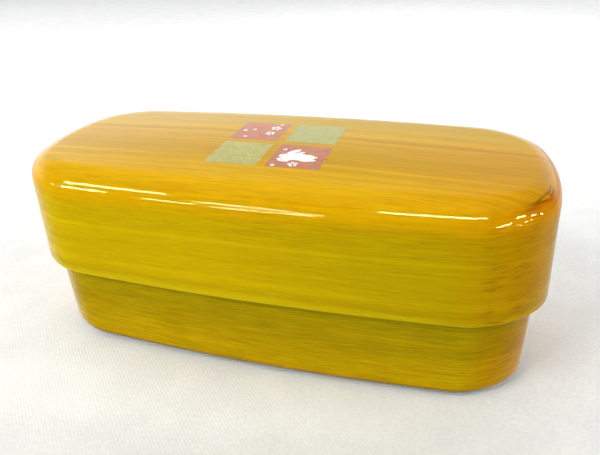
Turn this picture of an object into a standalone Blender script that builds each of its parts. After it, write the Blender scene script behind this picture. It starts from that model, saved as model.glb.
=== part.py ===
"""A slim lunch box in two loose pieces, both hollow and open on one side.

The box is an oblong bowl with straight, slightly drafted walls.  The lid is a deep cap that slips down
over it and comes to rest on the box's rim, so that its own rim hangs free part of the way up the box.
Both follow one outline: a rounded rectangle whose sides and ends are gently bowed.

Metres, +Z up.  The origin is on the surface that the box stands on, at the middle of its underside.
"""

import bmesh
import bpy
from math import atan, cos, hypot, pi, radians, sin, tan

# Outline of the lid at its rim, which every other outline is inset from
LID_LENGTH = 0.2000
LID_WIDTH = 0.0878
CORNER_RADIUS = 0.0220
SIDE_BOW = 0.0042
END_BOW = 0.0082

# Lid
LID_HEIGHT = 0.0423
LID_DRAFT = radians(2.0)
LID_RIM_WALL = 0.0032
LID_TOP_WALL = 0.0030
SHOULDER_RADIUS = 0.0091
CROWN = 0.0010
SEAT_TO_TOP = 0.0102
SEAT_LIP = 0.0011
CEILING_RADIUS = 0.0040
LID_RIM_OUTER_ROUND = 0.0010
LID_RIM_INNER_ROUND = 0.0006

# Box
BOX_HEIGHT = 0.0665
BOX_DRAFT = radians(0.6)
BOX_WALL = 0.0026
BOX_FLOOR = 0.0030
FOOT_RADIUS = 0.0056
INSIDE_RADIUS = 0.0045
BOX_RIM_ROUND = 0.0009

# Play round the box inside the lid, and the hairline left where the lid rests on the box's rim
FIT_CLEARANCE = 0.0004
REST_GAP = 0.0003

# Facets of a quarter of the outline, and of the rounded edges
END_STEPS = 4
CORNER_STEPS = 8
SIDE_STEPS = 6
SHOULDER_STEPS = 6
FOOT_STEPS = 5
SMALL_STEPS = 2
CROWN_RINGS = (0.25, 0.50, 0.75)
SMOOTH_ANGLE = radians(35.0)

# Heights that follow from the sizes above
SEAT_HEIGHT = BOX_HEIGHT + REST_GAP
TOP_HEIGHT = SEAT_HEIGHT + SEAT_TO_TOP
LID_RIM_HEIGHT = TOP_HEIGHT - LID_HEIGHT
SHOULDER_TOP = TOP_HEIGHT - CROWN
CEILING_HEIGHT = SHOULDER_TOP - LID_TOP_WALL

# Insets of the walls from the lid's outline at its rim
BOX_TOP_INSET = LID_RIM_WALL + FIT_CLEARANCE
BOX_INNER_TOP_INSET = BOX_TOP_INSET + BOX_WALL
SEAT_INNER_INSET = BOX_INNER_TOP_INSET + SEAT_LIP


def lid_inset(height):
    """Inset of the lid's outer wall, which leans in towards the top."""
    return tan(LID_DRAFT) * (height - LID_RIM_HEIGHT)


def box_inset(height):
    """Inset of the box's outer wall, which leans in towards the floor."""
    return BOX_TOP_INSET + tan(BOX_DRAFT) * (BOX_HEIGHT - height)


def outline_quarter(inset):
    """Points from the middle of the +X end to the middle of the +Y side of the bowed outline."""
    half_length = LID_LENGTH / 2 - END_BOW - inset
    half_width = LID_WIDTH / 2 - SIDE_BOW - inset
    radius = max(CORNER_RADIUS - inset, 0.0)
    corner_x = half_length - radius
    corner_y = half_width - radius
    square = [(half_length, corner_y * i / END_STEPS) for i in range(END_STEPS)]
    for i in range(CORNER_STEPS + 1):
        turn = pi / 2 * i / CORNER_STEPS
        square.append((corner_x + radius * cos(turn), corner_y + radius * sin(turn)))
    square += [(corner_x * (1 - i / SIDE_STEPS), half_width) for i in range(1, SIDE_STEPS + 1)]
    return [
        (x + END_BOW * (1 - (y / half_width) ** 2), y + SIDE_BOW * (1 - (x / half_length) ** 2))
        for x, y in square
    ]


def outline(inset, scale=1.0):
    """The whole outline, counter-clockwise from the middle of the +X end."""
    quarter = outline_quarter(inset)
    half = quarter + [(-x, y) for x, y in reversed(quarter[:-1])]
    whole = half + [(x, -y) for x, y in reversed(half[1:-1])]
    return [(x * scale, y * scale) for x, y in whole]


def arc(centre_inset, centre_height, radius, start, end, steps):
    """Stations of a rounded edge; angle 0 points outwards and a quarter turn points up."""
    stations = []
    for i in range(steps + 1):
        angle = start + (end - start) * i / steps
        stations.append((centre_inset - radius * cos(angle), centre_height + radius * sin(angle)))
    return stations


def lid_profile():
    """Stations (inset, height) from the edge of the crown, down the outside and up the inside."""
    slope = tan(LID_DRAFT)
    centre_height = SHOULDER_TOP - SHOULDER_RADIUS
    centre_inset = lid_inset(centre_height) + SHOULDER_RADIUS * hypot(1, slope)
    shoulder = arc(centre_inset, centre_height, SHOULDER_RADIUS, pi / 2, atan(slope), SHOULDER_STEPS)

    outer_height = LID_RIM_HEIGHT + LID_RIM_OUTER_ROUND
    rim_outer = arc(
        lid_inset(outer_height) + LID_RIM_OUTER_ROUND, outer_height,
        LID_RIM_OUTER_ROUND, 0, -pi / 2, SMALL_STEPS,
    )
    rim_inner = arc(
        LID_RIM_WALL - LID_RIM_INNER_ROUND, LID_RIM_HEIGHT + LID_RIM_INNER_ROUND,
        LID_RIM_INNER_ROUND, -pi / 2, -pi, SMALL_STEPS,
    )
    seat = [(LID_RIM_WALL, SEAT_HEIGHT), (SEAT_INNER_INSET, SEAT_HEIGHT)]
    ceiling = arc(
        SEAT_INNER_INSET + CEILING_RADIUS, CEILING_HEIGHT - CEILING_RADIUS,
        CEILING_RADIUS, 0, pi / 2, SMALL_STEPS,
    )
    return shoulder + rim_outer + rim_inner + seat + ceiling


def box_profile():
    """Stations (inset, height) from the edge of the underside, up the outside and down the inside."""
    slope = tan(BOX_DRAFT)
    foot = arc(
        box_inset(FOOT_RADIUS) + FOOT_RADIUS * hypot(1, slope), FOOT_RADIUS,
        FOOT_RADIUS, -pi / 2, -atan(slope), FOOT_STEPS,
    )
    round_height = BOX_HEIGHT - BOX_RIM_ROUND
    rim_outer = arc(
        box_inset(round_height) + BOX_RIM_ROUND, round_height, BOX_RIM_ROUND, 0, pi / 2, SMALL_STEPS,
    )
    rim_inner = arc(
        box_inset(round_height) + BOX_WALL - BOX_RIM_ROUND, round_height,
        BOX_RIM_ROUND, pi / 2, pi, SMALL_STEPS,
    )
    inside_height = BOX_FLOOR + INSIDE_RADIUS
    inside_inset = box_inset(inside_height) + BOX_WALL
    floor = arc(
        inside_inset + INSIDE_RADIUS * hypot(1, slope), inside_height,
        INSIDE_RADIUS, -atan(slope), -pi / 2, FOOT_STEPS - 1,
    )
    return foot + rim_outer + rim_inner + floor


def extrude_ring(bm, ring, points, height):
    """Extrude the open edge loop and put its new points on the next outline."""
    edges = [bm.edges.get((vert, ring[i - 1])) for i, vert in enumerate(ring)]
    made = bmesh.ops.extrude_edge_only(bm, edges=edges)["geom"]
    fresh = {item for item in made if isinstance(item, bmesh.types.BMVert)}
    following = []
    for vert, (x, y) in zip(ring, points):
        partner = next(e.other_vert(vert) for e in vert.link_edges if e.other_vert(vert) in fresh)
        partner.co = (x, y, height)
        following.append(partner)
    return following


def sweep_solid(name, rings, collection, material):
    """One closed body from (points, height) rings, capped flat at the first and at the last."""
    bm = bmesh.new()
    first_points, first_height = rings[0]
    ring = bmesh.ops.create_circle(bm, cap_ends=True, segments=len(first_points), radius=LID_WIDTH)["verts"]
    for vert, (x, y) in zip(ring, first_points):
        vert.co = (x, y, first_height)
    for points, height in rings[1:]:
        ring = extrude_ring(bm, ring, points, height)
    bmesh.ops.edgeloop_fill(bm, edges=[bm.edges.get((vert, ring[i - 1])) for i, vert in enumerate(ring)])
    bmesh.ops.recalc_face_normals(bm, faces=bm.faces)

    mesh = bpy.data.meshes.new(name)
    bm.to_mesh(mesh)
    bm.free()
    mesh.shade_smooth()
    mesh.set_sharp_from_angle(angle=SMOOTH_ANGLE)
    mesh.materials.append(material)
    solid = bpy.data.objects.new(name, mesh)
    collection.objects.link(solid)
    return solid


def lacquered_wood(name, colour, roughness):
    """A plain lacquer over wood; the colour is linear."""
    material = bpy.data.materials.new(name)
    material.use_nodes = True
    shader = material.node_tree.nodes["Principled BSDF"]
    shader.inputs["Base Color"].default_value = (*colour, 1.0)
    shader.inputs["Roughness"].default_value = roughness
    shader.inputs["Metallic"].default_value = 0.0
    shader.inputs["Coat Weight"].default_value = 1.0
    return material


def make_lid(collection):
    """Deep cap: a faint crown, a round shoulder, drafted sides, and a seat inside for the box's rim."""
    profile = lid_profile()
    crown_inset, _ = profile[0]
    rings = [
        (outline(crown_inset, share), TOP_HEIGHT - CROWN * share ** 2)
        for share in CROWN_RINGS
    ]
    rings += [(outline(inset), height) for inset, height in profile]
    return sweep_solid("lid", rings, collection, lacquered_wood("lid_lacquer", (0.66, 0.37, 0.03), 0.30))


def make_box(collection):
    """Oblong bowl with a flat underside, round foot and inside corners, and a rounded rim."""
    rings = [(outline(inset), height) for inset, height in box_profile()]
    return sweep_solid("box", rings, collection, lacquered_wood("box_lacquer", (0.42, 0.32, 0.02), 0.30))


def main():
    for old in list(bpy.data.objects):
        bpy.data.objects.remove(old, do_unlink=True)
    collection = bpy.data.collections.new("lunch_box")
    bpy.context.scene.collection.children.link(collection)
    make_box(collection)
    make_lid(collection)


main()
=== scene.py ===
"""Looks of a slim lacquered lunch box: a deep cap lid over a narrower box, both in painted wood grain.

Every piece is made by its own operator, from the sizes and colours that the sidebar panel lists.
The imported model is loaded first, as a fixed frame.  Metres, +Z up.
"""

from math import acos, atan, cos, hypot, pi, radians, sin, sqrt, tan

import bmesh
import bpy
from mathutils import Matrix, Vector


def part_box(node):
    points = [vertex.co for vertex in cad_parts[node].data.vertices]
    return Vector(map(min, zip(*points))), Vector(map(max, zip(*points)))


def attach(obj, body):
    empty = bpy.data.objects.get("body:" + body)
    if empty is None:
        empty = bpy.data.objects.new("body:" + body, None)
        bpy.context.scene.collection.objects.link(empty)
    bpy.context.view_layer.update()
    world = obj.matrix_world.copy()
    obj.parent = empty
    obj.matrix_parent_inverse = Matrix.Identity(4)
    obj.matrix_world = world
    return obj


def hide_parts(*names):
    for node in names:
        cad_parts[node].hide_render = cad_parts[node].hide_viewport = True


bl_info = {
    "name": "Lacquered Lunch Box",
    "version": (1, 0, 0),
    "blender": (4, 5, 0),
    "location": "View3D > Sidebar > Lunch Box",
    "description": "A slim lunch box with a deep cap lid, its printed squares, and a plain studio",
    "category": "Add Mesh",
}

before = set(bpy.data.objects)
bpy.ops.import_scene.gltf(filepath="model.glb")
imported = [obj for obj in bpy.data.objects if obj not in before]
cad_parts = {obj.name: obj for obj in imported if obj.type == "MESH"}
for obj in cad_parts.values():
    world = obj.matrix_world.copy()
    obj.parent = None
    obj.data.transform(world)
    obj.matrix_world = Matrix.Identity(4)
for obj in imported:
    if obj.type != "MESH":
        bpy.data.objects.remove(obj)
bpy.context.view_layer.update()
LID_LOW, LID_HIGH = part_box("lid")
_, BOX_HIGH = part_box("box")

# Facets of a quarter of the outline, and of the rounded edges
END_STEPS = 14
CORNER_STEPS = 24
SIDE_STEPS = 24
WALL_STEPS = 6
SHOULDER_STEPS = 24
FOOT_STEPS = 16
SMALL_STEPS = 6
TOP_RINGS = 14

# The seat's play over the box's rim, the inner round of the lid's rim as a share of the outer one,
# and the angle from which an edge is shaded sharp
SEAT_PLAY = 0.0003
INNER_ROUND = 0.6
SHARP_ANGLE = radians(40)

# Painted lines across the top: place in mm from the middle, positive to the back, and tone from
# dark 0 to light 1; below 0 a dark line only grows broader
GROWTH_LINES = (
    (-38.0, 1.00), (-35.0, 1.00), (-31.0, 0.88), (-28.2, 0.64), (-26.8, 0.82), (-24.8, 0.46),
    (-23.0, 0.76), (-21.6, 0.54), (-20.2, 0.44), (-18.0, 0.28), (-16.8, 0.68), (-16.0, 0.60),
    (-15.1, 0.24), (-5.0, 0.20), (-2.0, 0.22), (1.0, 0.34), (4.0, 0.28), (6.0, 0.30),
    (8.3, 0.56), (9.4, 0.14), (10.3, -0.34), (11.0, -0.40), (11.8, 0.10), (12.8, 0.50),
    (15.0, 0.58), (17.5, 0.46), (20.0, 0.30), (22.0, 0.50), (24.2, 0.34), (26.5, 0.34),
    (28.5, 0.24), (32.0, 0.26),
)

# Streaks within the painted lines: width, reach along the grain, and strength
SIDE_FIBRES = (
    (0.00020, 0.006, 0.34), (0.00045, 0.015, 0.40), (0.0012, 0.045, 0.20), (0.0030, 0.110, 0.12),
)
TOP_FIBRES = ((0.00022, 0.009, 0.44), (0.00060, 0.026, 0.42), (0.0013, 0.080, 0.16))
BOX_FIBRES = (
    (0.00020, 0.005, 0.52), (0.00045, 0.011, 0.80), (0.0011, 0.032, 0.40), (0.0028, 0.110, 0.14),
)

# How the two pieces differ: the share of the painted shade that darkens the sides to the right, where less
# light falls, and the end stain's start and share, and the shares of the dashes at the left and the right
# corners
LID_LOOK = {"ends": (0.6, 0.058, 0.85), "dashes": (0.0, 1.0), "fibres": SIDE_FIBRES}
BOX_LOOK = {"ends": (0.0, 0.070, 0.95), "dashes": (0.8, 0.3), "fibres": BOX_FIBRES}

# How far the painted lines wander up and down, and the depth of their relief under the lacquer
LINE_DRIFT = 0.0024
GRAIN_RELIEF = 0.00001

# Bend of the top's lines: where it starts, and how fast they turn forwards
BEND_START = -0.05
BEND = 0.277

# Depths under the top: where the sides' streaks give way to its lines, the smudges and the pooled stain
SIDE_GIVES_WAY = (0.0050, 0.0012)
SMUDGE_DEPTH = 0.0032
POOL_DEPTH = 0.0034

# Paint and ink under a clear coat, and the coat's very slight waves
LACQUER = {
    "Roughness": 0.5, "Specular IOR Level": 0.0, "Coat Weight": 1.0, "Coat Roughness": 0.02, "Coat IOR": 1.15,
}
COAT_WAVES = 70.0
COAT_WAVE_DEPTH = 0.000003

# Relief of the cloth's threads
THREAD_RELIEF = 0.00006


def tint(red, green, blue):
    """Linear colour of a tint given in everyday 0 to 255 steps."""
    def linear(step):
        share = step / 255
        return share / 12.92 if share <= 0.04045 else ((share + 0.055) / 1.055) ** 2.4
    return linear(red), linear(green), linear(blue)


# Stains, which the paint is multiplied by; the first is a painted shade that darkens the sides to the right
RIGHT_PAINTED_SHADE = tint(220, 222, 190)
END_STAIN = tint(255, 219, 136)
STROKE_STAIN = tint(208, 172, 90)
SMUDGE_STAIN = tint(244, 206, 120)
BACK_STAIN = tint(246, 255, 255)
TOP_END_STAIN = tint(255, 226, 190)

# Browns of the marks that cover the paint
DASH_BROWN = tint(140, 88, 10)
POOL_GLOW = tint(192, 96, 2)
POOL_BROWN = tint(112, 52, 4)
PORE_BROWN = tint(110, 70, 14)


def length_setting(name, default, description):
    return bpy.props.FloatProperty(
        name=name, default=default, description=description, unit="LENGTH", precision=5, min=0.0,
    )


def colour_setting(name, default, description):
    return bpy.props.FloatVectorProperty(
        name=name, default=default, description=description, subtype="COLOR", size=3, min=0.0, max=1.0,
    )


def angle_setting(name, degrees, description):
    return bpy.props.FloatProperty(
        name=name, default=radians(degrees), description=description, subtype="ANGLE",
    )


def amount_setting(name, default, description):
    return bpy.props.FloatProperty(name=name, default=default, description=description, min=0.0)


class OutlineSettings(bpy.types.PropertyGroup):
    """Outline that the lid and the box share."""
    corner_radius: length_setting("Corner radius", 0.0220, "Radius of the four corners at the lid's rim")
    side_bow: length_setting("Side bow", 0.0042, "How far each long side bulges at its middle")
    end_bow: length_setting("End bow", 0.0082, "How far each end bulges at its middle")


class LidSettings(bpy.types.PropertyGroup):
    """Deep cap lid."""
    draft: angle_setting("Draft", 2.0, "Lean of the outer wall")
    rim_wall: length_setting("Rim wall", 0.0032, "Thickness of the wall at the lid's rim")
    top_wall: length_setting("Top wall", 0.0030, "Thickness of the top beside the shoulder")
    shoulder_radius: length_setting("Shoulder radius", 0.0091, "Round between the sides and the top")
    dome: length_setting("Dome", 0.0012, "Rise of the top at its middle")
    seat_to_top: length_setting("Seat to top", 0.0102, "From the seat inside to the middle of the top")
    seat_lip: length_setting("Seat lip", 0.0011, "How far the seat reaches past the wall it rests on")
    ceiling_radius: length_setting("Ceiling radius", 0.0040, "Round inside, under the top")
    rim_round: length_setting("Rim round", 0.0010, "Round of the rim's outer edge")
    top_dark: colour_setting("Top, dark lines", tint(181, 139, 17), "Darkest painted lines on the top")
    top_light: colour_setting("Top, light lines", tint(219, 169, 20), "Lightest painted lines on the top")
    shoulder_colour: colour_setting("Shoulder", tint(218, 166, 5), "Warm stain round the shoulder")
    side_colour: colour_setting("Side", tint(201, 170, 4), "Yellow-green stain on the sides")
    line_colour: colour_setting("Light line", tint(209, 180, 6), "Two lighter lines along the sides")
    rim_colour: colour_setting("Rim", tint(210, 185, 12), "Lighter strip along the rim")
    rim_shade: colour_setting("Over the rim", tint(194, 164, 5), "Darker line over that strip")


class BoxSettings(bpy.types.PropertyGroup):
    """Narrower lower box."""
    draft: angle_setting("Draft", 0.6, "Lean of the outer wall")
    wall: length_setting("Wall", 0.0026, "Thickness of the wall")
    floor: length_setting("Floor", 0.0030, "Thickness of the floor")
    foot_radius: length_setting("Foot radius", 0.0056, "Round between the sides and the underside")
    inside_radius: length_setting("Inside radius", 0.0045, "Round inside, along the floor")
    rim_round: length_setting("Rim round", 0.0009, "Round of the rim's edges")
    clearance: length_setting("Clearance", 0.0004, "Play between the box's rim and the lid")
    # Painted shadow under the lid's rim, where the lid's overhang shades the box
    painted_shadow_colour: colour_setting("Under the rim", tint(146, 129, 7), "Darker stain under the lid's rim")
    high_colour: colour_setting("High side", tint(169, 147, 6), "Stain high on the sides")
    middle_colour: colour_setting("Middle", tint(175, 147, 5), "Stain halfway down the sides")
    low_colour: colour_setting("Low side", tint(192, 159, 5), "Stain low on the sides")
    # Painted contact shadow round the bottom of the foot, where it meets the floor
    painted_contact_shadow_colour: colour_setting("Underside", tint(112, 92, 10), "Dark stain under the foot")
    foot_colour: colour_setting("Foot", tint(198, 156, 5), "Warmer stain round the foot")


class PrintSettings(bpy.types.PropertyGroup):
    """Four printed squares on the lid."""
    width: length_setting("Width", 0.0193, "Width of each printed square, along the lid")
    depth: length_setting("Depth", 0.0203, "Depth of each printed square, across the lid")
    gap: length_setting("Gap", 0.0033, "Gap between the squares")
    shift_left: length_setting("Shift left", 0.00035, "How far left of the lid's middle the print sits")
    rose: colour_setting("Rose", tint(185, 125, 99), "Ground of two of the squares")
    sage: colour_setting("Sage", tint(174, 175, 124), "Ground of the other two")
    white: colour_setting("White", tint(246, 242, 240), "Petals, blossoms and the hare")
    straw: colour_setting("Straw", tint(198, 184, 96), "Fine lines on sage")
    blush: colour_setting("Blush", tint(208, 116, 94), "Faint blossoms on rose")


class StageSettings(bpy.types.PropertyGroup):
    """Floor, camera and lights."""
    floor_colour: colour_setting("Floor", tint(236, 237, 236), "Pale floor")
    thread: length_setting("Thread", 0.0016, "Distance between every second thread of the cloth")
    floor_size: length_setting("Floor size", 6.0, "Side of the square floor")
    view_distance: length_setting("Distance", 0.2318, "From the camera to the middle of the box")
    view_turn: angle_setting("Turn", 17.82, "Camera's turn to the right")
    view_rise: angle_setting("Rise", 28.54, "Camera's rise over the floor")
    view_roll: angle_setting("Roll", -2.67, "Camera's roll")
    view_lens: amount_setting("Focal length", 0.9523, "Focal length over the picture's width")
    room_low: amount_setting("Room, low", 1.7, "Strength of the room low down behind the box")
    room_high: amount_setting("Room, high", 0.12, "Strength of the rest of the room")
    ground_share: amount_setting("Ground share", 0.38, "How much of that strength is left below the horizon")
    window_glow: amount_setting("Window glow", 0.3, "How much stronger the room is back left")
    lamp_distance: length_setting("Lamp distance", 8.0, "From the box to the lamps that it mirrors")
    lamp_colour: colour_setting("Lamp colour", (1.0, 1.0, 0.44), "Greenish white of the mirrored lamps")
    lamp_glare: amount_setting("Lamp glare", 220.0, "Brightness of the mirrored lamps")


class Sizes:
    """Sizes that follow from the frame and from the settings."""

    def __init__(self, scene):
        self.outline = scene.lunch_outline
        self.lid = scene.lunch_lid
        self.box = scene.lunch_box
        rim_lean = tan(self.lid.draft) * self.lid.rim_round
        self.half_length = LID_HIGH.x + rim_lean
        self.half_width = LID_HIGH.y + rim_lean
        self.rim_height = LID_LOW.z
        self.box_height = BOX_HIGH.z
        self.seat_height = self.box_height + SEAT_PLAY
        self.top_height = self.seat_height + self.lid.seat_to_top
        self.shoulder_top = self.top_height - self.lid.dome
        self.ceiling_height = self.shoulder_top - self.lid.top_wall
        self.box_top_inset = self.lid.rim_wall + self.box.clearance
        self.seat_inset = self.box_top_inset + self.box.wall + self.lid.seat_lip

    def lid_inset(self, height):
        return tan(self.lid.draft) * (height - self.rim_height)

    def box_inset(self, height):
        return self.box_top_inset + tan(self.box.draft) * (self.box_height - height)

    def outline_points(self, inset, scale=1.0):
        """Counter-clockwise points of the bowed rounded outline, from the middle of the +X end."""
        end_bow, side_bow = self.outline.end_bow, self.outline.side_bow
        half_length = self.half_length - end_bow - inset
        half_width = self.half_width - side_bow - inset
        radius = max(self.outline.corner_radius - inset, 0.0)
        corner_x, corner_y = half_length - radius, half_width - radius
        square = [(half_length, corner_y * i / END_STEPS) for i in range(END_STEPS)]
        for i in range(CORNER_STEPS + 1):
            turn = pi / 2 * i / CORNER_STEPS
            square.append((corner_x + radius * cos(turn), corner_y + radius * sin(turn)))
        square += [(corner_x * (1 - i / SIDE_STEPS), half_width) for i in range(1, SIDE_STEPS + 1)]
        quarter = [
            (x + end_bow * (1 - (y / half_width) ** 2), y + side_bow * (1 - (x / half_length) ** 2))
            for x, y in square
        ]
        half = quarter + [(-x, y) for x, y in reversed(quarter[:-1])]
        whole = half + [(x, -y) for x, y in reversed(half[1:-1])]
        return [(x * scale, y * scale) for x, y in whole]

    def dome(self, x, y):
        """Rise of the lid's top over its edge."""
        return self.lid.dome * (1 - (x / self.half_length) ** 2) * (1 - (y / self.half_width) ** 2)


def arc(centre_inset, centre_height, radius, start, end, steps):
    """Stations of a rounded edge; angle 0 points outwards and a quarter turn points up."""
    stations = []
    for i in range(steps + 1):
        angle = start + (end - start) * i / steps
        stations.append((centre_inset - radius * cos(angle), centre_height + radius * sin(angle)))
    return stations


def straight(first, last, steps):
    """Stations strictly between two others."""
    return [
        tuple(a + (b - a) * i / steps for a, b in zip(first, last))
        for i in range(1, steps)
    ]


def lid_stations(sizes):
    """(inset, height) from the edge of the top, down the outside and up the inside."""
    lid = sizes.lid
    slope = tan(lid.draft)
    centre_height = sizes.shoulder_top - lid.shoulder_radius
    centre_inset = sizes.lid_inset(centre_height) + lid.shoulder_radius * hypot(1, slope)
    shoulder = arc(
        centre_inset, centre_height, lid.shoulder_radius, pi / 2, atan(slope), SHOULDER_STEPS,
    )
    outer, inner = lid.rim_round, lid.rim_round * INNER_ROUND
    outer_height = sizes.rim_height + outer
    rim_outer = arc(sizes.lid_inset(outer_height) + outer, outer_height, outer, 0, -pi / 2, SMALL_STEPS)
    rim_inner = arc(lid.rim_wall - inner, sizes.rim_height + inner, inner, -pi / 2, -pi, SMALL_STEPS)
    seat = [(lid.rim_wall, sizes.seat_height), (sizes.seat_inset, sizes.seat_height)]
    ceiling = arc(
        sizes.seat_inset + lid.ceiling_radius, sizes.ceiling_height - lid.ceiling_radius,
        lid.ceiling_radius, 0, pi / 2, SMALL_STEPS,
    )
    wall = straight(shoulder[-1], rim_outer[0], WALL_STEPS)
    return shoulder + wall + rim_outer + rim_inner + seat + ceiling


def box_stations(sizes):
    """(inset, height) from the edge of the underside, up the outside and down the inside."""
    box = sizes.box
    slope = tan(box.draft)
    foot = arc(
        sizes.box_inset(box.foot_radius) + box.foot_radius * hypot(1, slope), box.foot_radius,
        box.foot_radius, -pi / 2, -atan(slope), FOOT_STEPS,
    )
    rim, rim_height = box.rim_round, sizes.box_height - box.rim_round
    rim_inset = sizes.box_inset(rim_height)
    rim_outer = arc(rim_inset + rim, rim_height, rim, 0, pi / 2, SMALL_STEPS)
    rim_inner = arc(rim_inset + box.wall - rim, rim_height, rim, pi / 2, pi, SMALL_STEPS)
    inside_height = box.floor + box.inside_radius
    floor = arc(
        sizes.box_inset(inside_height) + box.wall + box.inside_radius * hypot(1, slope),
        inside_height, box.inside_radius, -atan(slope), -pi / 2, SMALL_STEPS,
    )
    wall = straight(foot[-1], rim_outer[0], WALL_STEPS)
    return foot + wall + rim_outer + rim_inner + floor


def ring_edges(bm, ring):
    return [bm.edges.get((vert, ring[i - 1])) for i, vert in enumerate(ring)]


def extrude_ring(bm, ring, points):
    """Extrude the open edge loop and put its new points in their places."""
    made = bmesh.ops.extrude_edge_only(bm, edges=ring_edges(bm, ring))["geom"]
    fresh = {item for item in made if isinstance(item, bmesh.types.BMVert)}
    following = []
    for vert, point in zip(ring, points):
        partner = next(e.other_vert(vert) for e in vert.link_edges if e.other_vert(vert) in fresh)
        partner.co = point
        following.append(partner)
    return following


def sweep_shell(rings):
    """A closed body from rings of points, capped at the first and at the last."""
    bm = bmesh.new()
    ring = bmesh.ops.create_circle(bm, cap_ends=True, segments=len(rings[0]), radius=1.0)["verts"]
    for vert, point in zip(ring, rings[0]):
        vert.co = point
    for points in rings[1:]:
        ring = extrude_ring(bm, ring, points)
    bmesh.ops.edgeloop_fill(bm, edges=ring_edges(bm, ring))
    bmesh.ops.recalc_face_normals(bm, faces=bm.faces)
    return bm


def add_piece(name, bm, materials):
    """A finished piece at the origin, with its place in its mesh."""
    mesh = bpy.data.meshes.new(name)
    bm.to_mesh(mesh)
    bm.free()
    mesh.shade_smooth()
    mesh.set_sharp_from_angle(angle=SHARP_ANGLE)
    for material in materials:
        mesh.materials.append(material)
    piece = bpy.data.objects.new(name, mesh)
    bpy.context.scene.collection.objects.link(piece)
    return piece


class Nodes:
    """Adds shader nodes to a tree and hands back their output sockets."""

    def __init__(self, tree):
        self.tree = tree

    def node(self, kind, inputs=None, **settings):
        node = self.tree.nodes.new(kind)
        for key, value in settings.items():
            setattr(node, key, value)
        for key, value in (inputs or {}).items():
            self.put(node.inputs[key], value)
        return node

    def put(self, socket, value):
        if isinstance(value, bpy.types.NodeSocket):
            self.tree.links.new(value, socket)
        elif isinstance(value, tuple) and len(value) == 3 and socket.type == "RGBA":
            socket.default_value = (*value, 1.0)
        else:
            socket.default_value = value

    def math(self, operation, first, second=0.0):
        node = self.node("ShaderNodeMath", {0: first, 1: second}, operation=operation)
        return node.outputs[0]

    def times(self, product, *shares):
        for share in shares:
            product = self.math("MULTIPLY", product, share)
        return product

    def remap(self, value, low, high, new_low=0.0, new_high=1.0):
        """Smooth step from one value to another; low may be over high."""
        inputs = {"Value": value, "From Min": low, "From Max": high, "To Min": new_low, "To Max": new_high}
        node = self.node("ShaderNodeMapRange", inputs, interpolation_type="SMOOTHSTEP")
        return node.outputs["Result"]


class Recipe(Nodes):
    """Nodes of a new material, with its shader and the place on the piece, in metres."""

    def __init__(self, name):
        self.material = bpy.data.materials.new(name)
        self.material.use_nodes = True
        super().__init__(self.material.node_tree)
        self.shader = self.tree.nodes["Principled BSDF"]
        self.place = self.node("ShaderNodeTexCoord").outputs["Object"]
        split = self.node("ShaderNodeSeparateXYZ", {0: self.place})
        self.x, self.y, self.z = split.outputs

    def noise(self, vector, detail=2.0, roughness=0.5, scale=1.0):
        inputs = {"Vector": vector, "Scale": scale, "Detail": detail, "Roughness": roughness}
        return self.node("ShaderNodeTexNoise", inputs).outputs["Fac"]

    def streaks(self, across, reach, width, detail=1.0, sideways=None):
        """Noise drawn out along the piece, with a reach along it and a width across it."""
        second = self.y if sideways is None else sideways
        drawn_out = {
            0: self.times(self.x, 1 / reach),
            1: self.times(second, 1 / reach),
            2: self.times(across, 1 / width),
        }
        return self.noise(self.node("ShaderNodeCombineXYZ", drawn_out).outputs[0], detail)

    def band(self, height, start, full, fading, end):
        """Band round a height, which fades in from start to full and out from fading to end."""
        return self.times(
            self.remap(self.z, height + start, height + full),
            self.remap(self.z, height + end, height + fading),
        )

    def blend(self, share, first, second, mode="MIX"):
        node = self.node("ShaderNodeMix", data_type="RGBA", blend_type=mode)
        self.put(node.inputs[0], share)
        self.put(node.inputs[6], first)
        self.put(node.inputs[7], second)
        return node.outputs[2]

    def bump(self, height, distance, strength=1.0):
        inputs = {"Height": height, "Strength": strength, "Distance": distance}
        return self.node("ShaderNodeBump", inputs).outputs["Normal"]

    def levels(self, height, stops):
        """A colour for each height, from (height, colour) pairs, lowest first."""
        low, high = stops[0][0], stops[-1][0]
        share = self.node(
            "ShaderNodeMapRange", {"Value": height, "From Min": low, "From Max": high},
        ).outputs["Result"]
        ramp = self.node("ShaderNodeValToRGB", {"Fac": share})
        elements = ramp.color_ramp.elements
        while len(elements) < len(stops):
            elements.new(0.5)
        for element, (at, colour) in zip(elements, stops):
            element.position = (at - low) / (high - low)
            element.color = (*colour, 1.0)
        return ramp.outputs["Color"]


def lacquer_gloss(recipe):
    """Thick, clear and very slightly wavy lacquer over whatever the shader paints."""
    for name, value in LACQUER.items():
        recipe.shader.inputs[name].default_value = value
    waves = recipe.noise(recipe.place, detail=1.0, scale=COAT_WAVES)
    recipe.put(recipe.shader.inputs["Coat Normal"], recipe.bump(waves, COAT_WAVE_DEPTH))


def fibres(recipe, across, kinds, sideways=None):
    """Swing round zero of the fine streaks that fill the painted lines."""
    total = 0.0
    for width, reach, strength in kinds:
        streaks = recipe.streaks(across, reach, width, 2.0, sideways)
        swing = recipe.times(recipe.math("SUBTRACT", streaks, 0.5), strength)
        total = recipe.math("ADD", swing, total)
    return total


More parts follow.
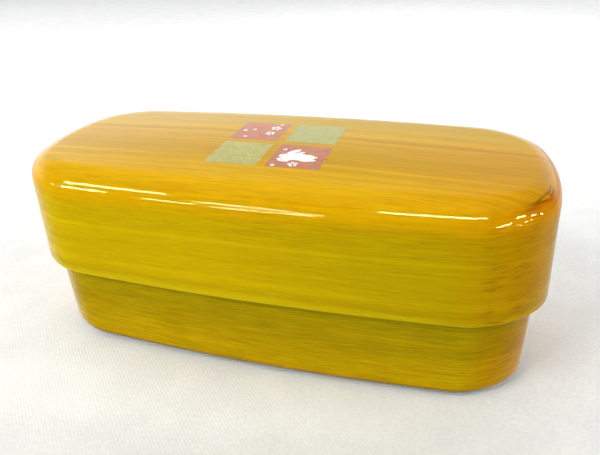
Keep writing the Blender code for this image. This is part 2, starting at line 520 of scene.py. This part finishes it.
def stained_ends_and_painted_shade(recipe, colour, depth, start, reach):
    """Orange-brown stain towards the ends, and a painted shade that darkens the sides from the middle to the
    right.
    """
    right = recipe.remap(recipe.x, start, 0.093, 0.0, reach)
    left = recipe.remap(recipe.x, -0.078, -0.100, 0.0, 0.35)
    clouds = recipe.remap(recipe.noise(recipe.place, scale=38.0), 0.25, 0.75, 0.8, 1.15)
    share = recipe.times(recipe.math("ADD", right, left), clouds)
    # Painted shade: the sides darken from the middle to the right, below the shoulder, as less light falls
    # there
    painted_shade = recipe.times(
        recipe.remap(recipe.x, -0.020, 0.070, 0.0, depth),
        recipe.remap(recipe.z, 0.0715, 0.0660),
    )
    colour = recipe.blend(painted_shade, colour, RIGHT_PAINTED_SHADE, "MULTIPLY")
    return recipe.blend(share, colour, END_STAIN, "MULTIPLY")


def corner_dashes(recipe, colour, across, left_share, right_share):
    """Short fine dark dashes of the brush, one over the other, where it turned the corners."""
    right = recipe.times(
        recipe.remap(recipe.x, 0.0735, 0.0800, 0.0, right_share),
        recipe.remap(recipe.x, 0.096, 0.087, 0.25, 1.0),
    )
    left = recipe.times(
        recipe.remap(recipe.x, -0.070, -0.080, 0.0, left_share),
        recipe.remap(recipe.x, -0.092, -0.086, 0.2, 1.0),
    )
    patches = recipe.remap(recipe.noise(recipe.place, 1.0, scale=95.0), 0.36, 0.56)
    strokes = recipe.streaks(across, 0.0060, 0.00030)
    cover = recipe.math("ADD", right, left)
    share = recipe.times(recipe.remap(strokes, 0.50, 0.66), patches, cover, 0.70)
    return recipe.blend(share, colour, DASH_BROWN)


def brushed_strokes(recipe, colour, across, low, high):
    """Faint brown brush strokes that gather between two heights."""
    strokes = recipe.streaks(across, 0.013, 0.00036)
    margin = (high - low) * 0.3
    band = recipe.times(
        recipe.remap(recipe.z, low - margin, low + margin, 0.3, 1.0),
        recipe.remap(recipe.z, high + margin, high, 0.1, 1.0),
    )
    share = recipe.times(recipe.remap(strokes, 0.50, 0.66), band, 0.28)
    return recipe.blend(share, colour, STROKE_STAIN, "MULTIPLY")


def smudges(recipe, colour, height):
    """Small orange-brown smudges of stain along the front of the shoulder."""
    clouds = recipe.streaks(recipe.z, 0.009, 0.0007)
    level = recipe.band(height, -0.0016, -0.0006, 0.0006, 0.0016)
    front = recipe.times(level, recipe.remap(recipe.y, -0.030, -0.036))
    share = recipe.times(recipe.remap(clouds, 0.54, 0.68), front, 0.4)
    return recipe.blend(share, colour, SMUDGE_STAIN, "MULTIPLY")


def pooled_shoulder(recipe, colour, height):
    """Dark streaks over a red-brown glow, where the stain has pooled at the shoulder's right end."""
    end = recipe.times(recipe.remap(recipe.x, 0.080, 0.089), recipe.remap(recipe.y, -0.012, -0.018))
    glow = recipe.band(height, -0.0034, -0.0012, -0.0006, 0.0004)
    colour = recipe.blend(recipe.times(end, glow, 0.5), colour, POOL_GLOW)
    line = recipe.band(height, -0.0012, -0.0002, 0.0003, 0.0012)
    streaks = recipe.streaks(recipe.z, 0.0060, 0.00042)
    marks = recipe.times(recipe.remap(streaks, 0.36, 0.56), line)
    far = recipe.times(end, recipe.remap(recipe.x, 0.084, 0.091, 0.30, 1.0))
    return recipe.blend(recipe.times(far, marks, 0.80), colour, POOL_BROWN)


def top_lines(recipe, drift, lid):
    """Long painted lines across the lid's top, which bend forwards to the right."""
    beyond = recipe.math("SUBTRACT", recipe.x, BEND_START)
    bend = recipe.times(beyond, beyond, BEND)
    across = recipe.math("ADD", recipe.math("ADD", recipe.y, bend), drift)
    stops = [(place / 1000, (tone, tone, tone)) for place, tone in GROWTH_LINES]
    colour = recipe.blend(recipe.levels(across, stops), tuple(lid.top_dark), tuple(lid.top_light))
    colour = recipe.blend(recipe.remap(across, 0.010, 0.022), colour, BACK_STAIN, "MULTIPLY")
    share = recipe.times(
        recipe.remap(recipe.x, 0.030, 0.090, 0.0, 0.5),
        recipe.remap(across, 0.022, 0.008, 0.35, 1.0),
    )
    colour = recipe.blend(share, colour, TOP_END_STAIN, "MULTIPLY")
    return colour, fibres(recipe, across, TOP_FIBRES, 0.3)


def pores(recipe, colour):
    """A few tiny dark pores under the lacquer."""
    cells = recipe.node("ShaderNodeTexVoronoi", {"Vector": recipe.place, "Scale": 42.0})
    dot = recipe.remap(cells.outputs["Distance"], 0.022, 0.010)
    pick = recipe.node("ShaderNodeSeparateColor", {0: cells.outputs["Color"]}).outputs[0]
    few = recipe.math("GREATER_THAN", pick, 0.88)
    return recipe.blend(recipe.times(dot, few), colour, PORE_BROWN)


def painted_grain(name, stops, strokes, lid=None, top_height=0.0):
    """Lacquered wood grain: a stain by height with the painted shadows of its stops, streaks along the sides
    and, on a lid, painted shade to the right and lines on the top.
    """
    recipe = Recipe(name)
    look = LID_LOOK if lid else BOX_LOOK
    drift = recipe.math("SUBTRACT", recipe.streaks(recipe.z, 0.085, 0.040), 0.5)
    drift = recipe.times(drift, LINE_DRIFT)
    across = recipe.math("ADD", recipe.z, drift)
    colour = recipe.levels(across, stops)
    colour = brushed_strokes(recipe, colour, across, *strokes)
    colour = stained_ends_and_painted_shade(recipe, colour, *look["ends"])
    colour = corner_dashes(recipe, colour, across, *look["dashes"])
    swing = fibres(recipe, across, look["fibres"])
    if lid:
        over = recipe.remap(recipe.z, *(top_height - depth for depth in SIDE_GIVES_WAY))
        top_colour, top_swing = top_lines(recipe, drift, lid)
        colour = recipe.blend(over, colour, top_colour)
        swing = recipe.node("ShaderNodeMix", {0: over, 2: swing, 3: top_swing}).outputs[0]
        colour = smudges(recipe, colour, top_height - SMUDGE_DEPTH)
        colour = pooled_shoulder(recipe, colour, top_height - POOL_DEPTH)
    colour = recipe.blend(1.0, colour, recipe.math("ADD", swing, 1.0), "MULTIPLY")
    recipe.put(recipe.shader.inputs["Base Color"], pores(recipe, colour))
    recipe.put(recipe.shader.inputs["Roughness"], recipe.remap(swing, -0.2, 0.2, 0.60, 0.42))
    recipe.put(recipe.shader.inputs["Normal"], recipe.bump(swing, GRAIN_RELIEF))
    lacquer_gloss(recipe)
    return recipe.material


def build_lid(sizes):
    stations = lid_stations(sizes)
    top_inset, top_height = stations[0]
    rings = []
    for i in range(TOP_RINGS - 1, 0, -1):
        points = sizes.outline_points(top_inset, 1 - i / TOP_RINGS)
        rings.append([(x, y, top_height + sizes.dome(x, y)) for x, y in points])
    for i, (inset, height) in enumerate(stations):
        outer = i <= SHOULDER_STEPS
        rings.append([
            (x, y, height + (sizes.dome(x, y) if outer else 0.0))
            for x, y in sizes.outline_points(inset)
        ])
    return sweep_shell(rings)


def build_box(sizes):
    rings = [
        [(x, y, height) for x, y in sizes.outline_points(inset)]
        for inset, height in box_stations(sizes)
    ]
    return sweep_shell(rings)


class LUNCHBOX_OT_lid(bpy.types.Operator):
    """Make the deep cap lid in painted, lacquered wood grain"""
    bl_idname = "lunchbox.lid"
    bl_label = "Lid"

    def execute(self, context):
        sizes = Sizes(context.scene)
        lid = sizes.lid
        shoulder_foot = sizes.shoulder_top - lid.shoulder_radius
        rim = sizes.rim_height
        stops = [
            (rim + 0.0018, lid.rim_colour),
            (rim + 0.0036, lid.rim_shade),
            (rim + 0.0056, lid.side_colour),
            (rim + 0.0076, lid.line_colour),
            (rim + 0.0098, lid.side_colour),
            (rim + 0.0208, lid.side_colour),
            (rim + 0.0220, lid.line_colour),
            (rim + 0.0236, lid.side_colour),
            (shoulder_foot - 0.0030, lid.side_colour),
            (shoulder_foot + 0.0030, lid.shoulder_colour),
            (sizes.top_height, lid.shoulder_colour),
        ]
        strokes = (shoulder_foot - 0.008, shoulder_foot + 0.001)
        material = painted_grain("lid_lacquer", stops, strokes, lid, sizes.top_height)
        piece = add_piece("lid_shell", build_lid(sizes), [material])
        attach(piece, "root")
        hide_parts("lid")
        return {"FINISHED"}


class LUNCHBOX_OT_box(bpy.types.Operator):
    """Make the narrower box in painted, lacquered wood grain"""
    bl_idname = "lunchbox.box"
    bl_label = "Box"

    def execute(self, context):
        sizes = Sizes(context.scene)
        box = sizes.box
        stops = [
            # Painted contact shadow: dark up to 3 mm over the floor, fading into the foot's stain by 4.5 mm
            (0.0030, box.painted_contact_shadow_colour),
            (0.0045, box.foot_colour),
            (box.foot_radius + 0.0014, box.low_colour),
            (box.foot_radius + 0.0060, box.low_colour),
            (sizes.rim_height * 0.58, box.middle_colour),
            (sizes.rim_height - 0.0048, box.high_colour),
            # Painted shadow: darker just under the lid's rim, where the lid's overhang shades the box
            (sizes.rim_height - 0.0006, box.painted_shadow_colour),
            (sizes.box_height, box.painted_shadow_colour),
        ]
        material = painted_grain("box_lacquer", stops, (0.004, 0.024))
        piece = add_piece("box_shell", build_box(sizes), [material])
        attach(piece, "root")
        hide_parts("box")
        return {"FINISHED"}


# The hare's rounded parts, in mm from the middle of its square: place, half length, half width and turn
HARE = {
    "body": (-0.5, -0.5, 4.6, 3.0, -6),
    "haunch": (3.1, -0.8, 2.7, 2.6, 0),
    "chest": (-3.4, -1.8, 2.4, 2.5, 0),
    "head": (-5.2, -0.3, 2.2, 1.7, 12),
    "ear_near": (-3.0, 3.9, 2.9, 1.2, 48),
    "ear_far": (-0.4, 3.0, 1.9, 0.6, 42),
    "tail": (5.7, -0.3, 1.1, 0.6, 50),
    "hind_leg_near": (4.8, -3.1, 1.9, 0.7, 8),
    "hind_leg_far": (2.6, -3.6, 1.8, 0.6, -4),
    "fore_leg_near": (-4.7, -4.6, 2.1, 0.65, -8),
    "fore_leg_far": (-6.4, -3.1, 1.1, 0.55, 20),
}
HARE_EYE = (-5.8, 0.4, 0.3, 0.26, 0)

# Outline of a notched petal of size 1 that points to the right, and how many make a blossom
PETAL = (
    (0.24, 0.0), (0.48, -0.21), (0.78, -0.29), (1.00, -0.13), (0.84, 0.0), (1.00, 0.13), (0.78, 0.29),
    (0.48, 0.21),
)
BLOSSOM = 5

# Blossoms and single petals on the two rose squares: place in mm, size in mm and turn in degrees
BACK_BLOSSOMS = ((4.85, 4.0, 2.3, 12), (4.35, -2.3, 2.0, 50))
BACK_PETALS = ((-8.0, -1.0, 2.3, 40), (-4.7, 1.1, 2.2, 10), (-5.6, -6.9, 2.2, -10), (4.5, 8.4, 2.1, 8))
BACK_FAINT = ((-6.8, -3.9, 1.6, 30), (1.5, -6.1, 2.2, 0), (-4.1, 6.8, 1.9, 20), (-0.3, 5.0, 1.6, 45))
FRONT_BLOSSOMS = ((-0.3, -7.1, 1.9, 35),)
FRONT_PETALS = ((-8.2, 5.0, 2.2, 20), (-8.5, -8.9, 2.2, 0))
FRONT_FAINT = ((6.2, 7.1, 1.8, 10), (2.9, -6.9, 1.7, 60), (8.0, -1.5, 1.3, 0))

# Ink slots of the print, in the order of its materials, and the layers that they are laid in
INKS = ("rose", "sage", "white", "straw", "blush")
ROSE, SAGE, WHITE, STRAW, BLUSH = range(5)
GROUND_LAYER, FAINT_LAYER, WHITE_LAYER, EYE_LAYER = 1, 2, 3, 4

# Height of each ink layer over the one below, and how deep the ink reaches
INK_LIFT = 0.00003
INK_DEPTH = 0.00005

LEAF_TRIANGLE = 0.0031
LEAF_LINE = 0.00015
WAVE_RADIUS = 0.0032
WAVE_LINE = 0.00010
WAVE_ARCS = (1.0, 0.72, 0.45)
WAVE_STEPS = 8
OVAL_STEPS = 28
PETAL_STEPS = 3
GROUND_STEPS = 8


def smooth_outline(points, steps):
    """Closed curve through the points."""
    outline = []
    count = len(points)
    for i in range(count):
        before, start, end, after = (Vector(points[(i + k) % count]) for k in (-1, 0, 1, 2))
        for step in range(steps):
            t = step / steps
            bend = (2 * before - 5 * start + 4 * end - after) * t * t
            twist = (3 * start - before - 3 * end + after) * t ** 3
            outline.append((2 * start + (end - before) * t + bend + twist) / 2)
    return outline


def placed(points, place, size, turn):
    """Outline in metres, from points, a place and a size in mm."""
    across, up = place
    turned = [(x * cos(turn) - y * sin(turn), x * sin(turn) + y * cos(turn)) for x, y in points]
    return [((across + x * size) / 1000, (up + y * size) / 1000) for x, y in turned]


def paint(verts, ink):
    """Give the faces round the points their ink."""
    for vert in verts:
        for face in vert.link_faces:
            face.material_index = ink


def add_shape(bm, outline, ink, layer):
    """A flat filled outline on one of the ink layers."""
    verts = [bm.verts.new((x, y, layer * INK_LIFT)) for x, y in outline]
    faces = bmesh.ops.contextual_create(bm, geom=verts, mat_nr=ink)["faces"]
    bmesh.ops.triangulate(bm, faces=faces)


def add_petals(bm, places, count, ink, layer):
    """Notched petals that point away from each place, evenly turned round it."""
    for across, up, size, turn in places:
        for i in range(count):
            turned = radians(turn + 360 / count * i)
            outline = placed(smooth_outline(PETAL, PETAL_STEPS), (across, up), size, turned)
            add_shape(bm, outline, ink, layer)


def laid_out(across, up, layer, turn, length, width):
    """Matrix that lays a flat shape of size 1 on one of the ink layers."""
    place = Matrix.Translation((across, up, layer * INK_LIFT))
    return place @ Matrix.Rotation(turn, 4, "Z") @ Matrix.Diagonal((length, width, 1, 1))


def add_oval(bm, oval, ink, layer):
    """A filled ellipse from its place, half length, half width and turn."""
    across, up, length, width = (size / 1000 for size in oval[:4])
    matrix = laid_out(across, up, layer, radians(oval[4]), length, width)
    made = bmesh.ops.create_circle(bm, cap_ends=True, segments=OVAL_STEPS, radius=1.0, matrix=matrix)
    paint(made["verts"], ink)


def add_rectangle(bm, matrix, steps, ink):
    made = bmesh.ops.create_grid(bm, x_segments=steps, y_segments=steps, size=0.5, matrix=matrix)
    paint(made["verts"], ink)


def add_line(bm, start, end):
    """A straight straw-coloured ribbon."""
    run, middle = end - start, (start + end) / 2
    turn = run.angle_signed(Vector((1, 0)))
    add_rectangle(bm, laid_out(*middle, FAINT_LAYER, turn, run.length, LEAF_LINE), 1, STRAW)


def hemp_leaves(bm, reach):
    """Six-pointed hemp leaves: a net of triangles, with lines from each corner to the middle."""
    edge = LEAF_TRIANGLE
    rise = edge * sqrt(3) / 2
    rows = int(reach / rise / 2) + 2
    columns = int(reach / edge / 2) + 2
    right = Vector((edge, 0))
    up_right, up_left = Vector((edge / 2, rise)), Vector((-edge / 2, rise))
    for row in range(-rows, rows):
        for column in range(-columns, columns + 1):
            corner = Vector(((column + 0.5 * (row % 2)) * edge, row * rise))
            for step in (right, up_right, up_left):
                add_line(bm, corner, corner + step)
            for first, second in ((right, up_right), (up_right, up_left)):
                middle = corner + (first + second) / 3
                for point in (corner, corner + first, corner + second):
                    add_line(bm, point, middle)


def rolling_waves(bm, reach):
    """Overlapping rows of arcs; each row hides the lower part of the row behind it."""
    radius = WAVE_RADIUS
    rows = int(reach / radius) + 3
    columns = int(reach / radius / 4) + 2
    for row in range(-rows, rows + 1):
        for column in range(-columns, columns + 1):
            centre = Vector(((2 * column + row % 2) * radius, row * radius / 2, FAINT_LAYER * INK_LIFT))
            for share in WAVE_ARCS:
                hidden = acos((share + 0.25 / share) / sqrt(5)) - atan(0.5)
                outwards = Vector((cos(hidden), sin(hidden), 0.0))
                ends = [centre + outwards * (share * radius + k * WAVE_LINE / 2) for k in (-1, 1)]
                verts = [bm.verts.new(end) for end in ends]
                line = bm.edges.new(verts)
                bmesh.ops.spin(
                    bm, geom=verts + [line], cent=centre, axis=(0, 0, 1), angle=pi - 2 * hidden,
                    steps=WAVE_STEPS,
                )
    paint(bm.verts, STRAW)


def trim_to_square(bm, width, depth):
    """Cut away what reaches past the square's edges."""
    for normal, side in (((1, 0, 0), width), ((-1, 0, 0), width), ((0, 1, 0), depth), ((0, -1, 0), depth)):
        bmesh.ops.bisect_plane(
            bm, geom=bm.verts[:] + bm.edges[:] + bm.faces[:], dist=1e-7,
            plane_co=Vector(normal) * side / 2, plane_no=normal, clear_outer=True,
        )


def print_square(width, depth, ground, pattern):
    """One printed square: its ground, and what the pattern function draws on it."""
    bm = bmesh.new()
    pattern(bm, max(width, depth))
    trim_to_square(bm, width, depth)
    add_rectangle(bm, laid_out(0, 0, GROUND_LAYER, 0, width, depth), GROUND_STEPS, ground)
    return bm


def falling_blossoms(bm, _reach):
    add_petals(bm, BACK_FAINT, BLOSSOM, BLUSH, FAINT_LAYER)
    add_petals(bm, BACK_BLOSSOMS, BLOSSOM, WHITE, WHITE_LAYER)
    add_petals(bm, BACK_PETALS, 1, WHITE, WHITE_LAYER)


def leaping_hare(bm, _reach):
    add_petals(bm, FRONT_FAINT, BLOSSOM, BLUSH, FAINT_LAYER)
    add_petals(bm, FRONT_BLOSSOMS, BLOSSOM, WHITE, WHITE_LAYER)
    add_petals(bm, FRONT_PETALS, 1, WHITE, WHITE_LAYER)
    for oval in HARE.values():
        add_oval(bm, oval, WHITE, WHITE_LAYER)
    add_oval(bm, HARE_EYE, ROSE, EYE_LAYER)


def build_print(sizes, settings):
    """The four squares, laid on the dome of the top and given a little depth."""
    width, depth = settings.width, settings.depth
    step, rise = (width + settings.gap) / 2, (depth + settings.gap) / 2
    squares = (
        (-step, rise, ROSE, falling_blossoms), (step, rise, SAGE, rolling_waves),
        (-step, -rise, SAGE, hemp_leaves), (step, -rise, ROSE, leaping_hare),
    )
    whole = bmesh.new()
    for across, up, ground, pattern in squares:
        bm = print_square(width, depth, ground, pattern)
        bmesh.ops.translate(bm, verts=bm.verts, vec=(across - settings.shift_left, up, 0))
        mesh = bpy.data.meshes.new("square")
        bm.to_mesh(mesh)
        bm.free()
        whole.from_mesh(mesh)
        bpy.data.meshes.remove(mesh)
    for vert in whole.verts:
        vert.co.z += sizes.shoulder_top + sizes.dome(vert.co.x, vert.co.y)
    made = bmesh.ops.extrude_face_region(whole, geom=whole.faces[:], use_keep_orig=True)["geom"]
    lower = [item for item in made if isinstance(item, bmesh.types.BMVert)]
    bmesh.ops.translate(whole, verts=lower, vec=(0, 0, -INK_DEPTH))
    bmesh.ops.recalc_face_normals(whole, faces=whole.faces)
    return whole


def ink(name, colour):
    """Slightly uneven ink under the same lacquer."""
    recipe = Recipe(name)
    clouds = recipe.remap(recipe.noise(recipe.place, 3.0, 0.6, 420.0), 0.3, 0.7, 0.90, 1.06)
    recipe.put(recipe.shader.inputs["Base Color"], recipe.blend(1.0, tuple(colour), clouds, "MULTIPLY"))
    lacquer_gloss(recipe)
    return recipe.material


class LUNCHBOX_OT_print(bpy.types.Operator):
    """Print the four squares on the lid"""
    bl_idname = "lunchbox.print"
    bl_label = "Print"

    def execute(self, context):
        settings = context.scene.lunch_print
        inks = [ink(name + "_ink", getattr(settings, name)) for name in INKS]
        piece = add_piece("lid_print", build_print(Sizes(context.scene), settings), inks)
        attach(piece, "root")
        return {"FINISHED"}


# Point that the camera is aimed past, and how far to its right and over it
AIM = Vector((0.0, 0.0, 0.03955))
AIM_RIGHT = 0.00586
AIM_UP = 0.00114


def view_matrix(stage):
    """Camera's place and turn, aimed past the middle of the box."""
    turn, rise, roll = stage.view_turn, stage.view_rise, stage.view_roll
    back = Vector((sin(turn) * cos(rise), -cos(turn) * cos(rise), sin(rise)))
    right = Vector((0, 0, 1)).cross(back).normalized()
    up = back.cross(right)
    rolled_right = cos(roll) * right + sin(roll) * up
    rolled_up = cos(roll) * up - sin(roll) * right
    place = AIM + stage.view_distance * back + AIM_RIGHT * rolled_right + AIM_UP * rolled_up
    turned = Matrix((rolled_right, rolled_up, back)).transposed().to_4x4()
    return Matrix.Translation(place) @ turned


# Soft panels that light the box but aren't mirrored: place, size and power in watts
PANELS = {
    "back_left": ((-1.0, 1.0, 1.2), 1.0, 6.0),
    "left": ((-1.5, 0.0, 0.9), 1.0, 10.8),
    "front_left": ((-0.95, -1.05, 1.1), 0.8, 18.4),
    "front": ((0.5, -1.4, 1.2), 0.8, 4.3),
    "back": ((0.7, 1.5, 1.0), 1.0, 5.4),
    "right": ((1.5, 0.0, 0.9), 1.0, 14.0),
    "near_back": ((0.0, 0.75, 0.55), 0.4, 1.6),
}

# Rows of lamps that the lacquer mirrors: (turn, rise) of their two ends and width in degrees,
# and share of the glare
LAMPS = {
    "near_left": ((-55.0, 29.4), (-38.8, 34.4), 6.6, 0.66),
    "near_right": ((-4.8, 46.4), (45.0, 46.4), 5.4, 1.1),
    "middle_left": ((-49.5, 14.6), (-42.2, 16.4), 5.0, 1.0),
    "middle": ((-30.5, 21.2), (-15.4, 22.2), 2.8, 1.15),
    "middle_right": ((-15.4, 17.4), (-10.4, 17.0), 3.0, 0.8),
    "far_left": ((-36.0, 11.0), (-28.6, 12.4), 3.6, 0.6),
    "far": ((-26.2, 9.6), (-12.0, 11.0), 2.6, 1.15),
    "corner_left": ((-68.0, 11.4), (-64.0, 13.4), 4.0, 0.5),
    "side_first": ((46.0, 9.4), (52.8, 12.8), 4.6, 0.85),
    "side_second": ((55.0, 14.2), (63.8, 15.6), 4.8, 0.85),
    "side_third": ((65.6, 4.6), (71.0, 5.4), 2.6, 0.85),
    "side_fourth": ((74.0, 8.0), (77.4, 8.6), 3.0, 0.85),
    "side_fifth": ((82.0, 8.4), (85.0, 9.0), 2.4, 0.85),
    "side_sixth": ((72.0, 28.6), (82.2, 25.2), 5.4, 0.85),
    "side_seventh": ((85.4, 19.6), (91.0, 15.4), 4.2, 0.85),
    "side_last": ((96.6, 11.6), (100.0, 10.0), 2.8, 0.85),
}


def add_panel(name, place, size, power):
    """An area light at its place, not seen itself; its caller aims it at the middle of the box."""
    light = bpy.data.lights.new(name, "AREA")
    light.shape = "RECTANGLE"
    light.size, light.size_y = size
    light.energy = power
    panel = bpy.data.objects.new(name, light)
    panel.location = place
    panel.visible_camera = False
    bpy.context.scene.collection.objects.link(panel)
    return panel


def add_soft_panels():
    for name, (place, size, power) in PANELS.items():
        panel = add_panel(name, place, (size, size), power)
        panel.rotation_euler = Vector(place).to_track_quat("Z", "Y").to_euler()
        panel.visible_glossy = False


def add_lamps(stage):
    """Long thin lamps, seen only as highlights."""
    for name, (start, end, width, share) in LAMPS.items():
        ends = []
        for turn, rise in (start, end):
            level = cos(radians(rise))
            away = Vector((sin(radians(turn)) * level, -cos(radians(turn)) * level, sin(radians(rise))))
            ends.append(away * stage.lamp_distance)
        middle = (ends[0] + ends[1]) / 2
        along = ends[1] - ends[0]
        length, depth = along.length, radians(width) * stage.lamp_distance
        power = stage.lamp_glare * share * pi * length * depth
        lamp = add_panel(name, middle, (length, depth), power)
        facing = middle.normalized()
        lengthwise = (along - along.dot(facing) * facing).normalized()
        turned = Matrix((lengthwise, facing.cross(lengthwise), facing)).transposed()
        lamp.rotation_euler = turned.to_euler()
        lamp.visible_diffuse = False
        lamp.data.color = stage.lamp_colour


def pale_room(stage):
    """World that the lacquer mirrors: pale low down behind the box, strongest back left, else dim."""
    world = bpy.data.worlds.new("pale_room")
    world.use_nodes = True
    room = Nodes(world.node_tree)
    direction = room.node("ShaderNodeTexCoord").outputs["Generated"]
    x, y, z = room.node("ShaderNodeSeparateXYZ", {0: direction}).outputs
    limit = room.remap(x, -0.60, 0.0, 0.57, sin(radians(40)))
    low = room.remap(z, limit, sin(radians(8)))
    back = room.remap(y, -0.3, 0.4)
    side = room.math("MAXIMUM", room.remap(x, 0.80, 0.45), room.remap(z, 0.0, -0.08))
    ground = room.remap(z, -0.08, 0.0, stage.ground_share, 1.0)
    glow = room.remap(x, -0.20, -0.50, 1.0, 1.0 + stage.window_glow)
    band = room.times(low, back, side, ground, glow)
    strength = room.math("ADD", room.times(band, stage.room_low), stage.room_high)
    background = world.node_tree.nodes["Background"]
    room.put(background.inputs["Color"], (1.0, 1.0, 1.0))
    room.put(background.inputs["Strength"], strength)
    return world


def woven_floor(stage):
    """Fine white cloth: a plain weave, slightly uneven, with painted light and shade of one soft fold in
    front of the box, and painted shade towards the front.
    """
    recipe = Recipe("pale_floor")
    shader = recipe.shader
    clouds = recipe.remap(recipe.noise(recipe.place, 3.0, 0.6, 45.0), 0.3, 0.7, 0.965, 1.02)
    slubs = recipe.remap(recipe.noise(recipe.place, 2.0, 0.6, 700.0), 0.3, 0.7, 0.965, 1.035)
    ahead = recipe.math("ADD", recipe.y, recipe.times(recipe.x, -0.14))
    # Painted light and shade of a fold in front of the box, on a flat floor: a brighter ridge, then a darker
    # valley
    painted_fold_light_and_shade = recipe.math(
        "ADD", recipe.remap(ahead, -0.078, -0.062, 0.0, 0.06),
        recipe.remap(ahead, -0.052, -0.038, 0.0, -0.05),
    )
    near = recipe.times(recipe.remap(recipe.x, 0.060, 0.000), recipe.remap(recipe.x, -0.20, -0.08))
    # Painted shade: the floor darkens further in front of the box, as less light falls there
    painted_front_shade = recipe.remap(ahead, -0.086, -0.066, 0.94, 0.98)
    shade = recipe.math("ADD", recipe.times(painted_fold_light_and_shade, near), painted_front_shade)
    shade = recipe.times(shade, recipe.times(clouds, slubs))
    colour = recipe.blend(1.0, tuple(stage.floor_colour), shade, "MULTIPLY")
    recipe.put(shader.inputs["Base Color"], colour)
    shader.inputs["Roughness"].default_value = 0.9
    shader.inputs["Specular IOR Level"].default_value = 0.0
    pitch = 2 * pi / stage.thread
    weave = recipe.times(
        recipe.math("SINE", recipe.times(recipe.x, pitch)),
        recipe.math("SINE", recipe.times(recipe.y, pitch)),
    )
    recipe.put(shader.inputs["Normal"], recipe.bump(weave, THREAD_RELIEF, 0.5))
    return recipe.material


class LUNCHBOX_OT_stage(bpy.types.Operator):
    """Make the pale floor, the soft lights and the camera"""
    bl_idname = "lunchbox.stage"
    bl_label = "Stage"

    def execute(self, context):
        scene = context.scene
        stage = scene.lunch_stage
        bm = bmesh.new()
        bmesh.ops.create_grid(bm, x_segments=1, y_segments=1, size=stage.floor_size / 2)
        floor = add_piece("floor", bm, [woven_floor(stage)])
        floor.visible_glossy = False

        camera_data = bpy.data.cameras.new("camera")
        camera_data.sensor_fit = "HORIZONTAL"
        camera_data.sensor_width = 36.0
        camera_data.lens = stage.view_lens * camera_data.sensor_width
        camera_data.clip_start = 0.01
        camera = bpy.data.objects.new("camera", camera_data)
        camera.matrix_world = view_matrix(stage)
        scene.collection.objects.link(camera)
        scene.camera = camera

        scene.world = pale_room(stage)
        scene.view_settings.view_transform = "Standard"
        add_soft_panels()
        add_lamps(stage)
        return {"FINISHED"}


class LUNCHBOX_PT_panel(bpy.types.Panel):
    """Lists the lunch box's pieces, sizes and colours"""
    bl_idname = "LUNCHBOX_PT_panel"
    bl_label = "Lunch Box"
    bl_space_type = "VIEW_3D"
    bl_region_type = "UI"
    bl_category = "Lunch Box"

    def draw(self, context):
        for title, name, _, operator in SETTINGS:
            box = self.layout.box()
            box.label(text=title)
            settings = getattr(context.scene, name)
            for setting in settings.__annotations__:
                box.prop(settings, setting)
            if operator:
                box.operator(operator)


# Groups of settings: title, name in the scene, class, and the operator that uses them
SETTINGS = (
    ("Outline", "lunch_outline", OutlineSettings, None),
    ("Lid", "lunch_lid", LidSettings, "lunchbox.lid"),
    ("Box", "lunch_box", BoxSettings, "lunchbox.box"),
    ("Print", "lunch_print", PrintSettings, "lunchbox.print"),
    ("Stage", "lunch_stage", StageSettings, "lunchbox.stage"),
)

CLASSES = (
    LUNCHBOX_OT_lid, LUNCHBOX_OT_box, LUNCHBOX_OT_print, LUNCHBOX_OT_stage, LUNCHBOX_PT_panel,
)


def register():
    for _, name, group, _ in SETTINGS:
        bpy.utils.register_class(group)
        setattr(bpy.types.Scene, name, bpy.props.PointerProperty(type=group))
    for operator in CLASSES:
        bpy.utils.register_class(operator)


def unregister():
    for operator in reversed(CLASSES):
        bpy.utils.unregister_class(operator)
    for _, name, group, _ in reversed(SETTINGS):
        delattr(bpy.types.Scene, name)
        bpy.utils.unregister_class(group)


def main():
    register()
    bpy.ops.lunchbox.stage()
    bpy.ops.lunchbox.box()
    bpy.ops.lunchbox.lid()
    bpy.ops.lunchbox.print()


if __name__ == "__main__":
    main()
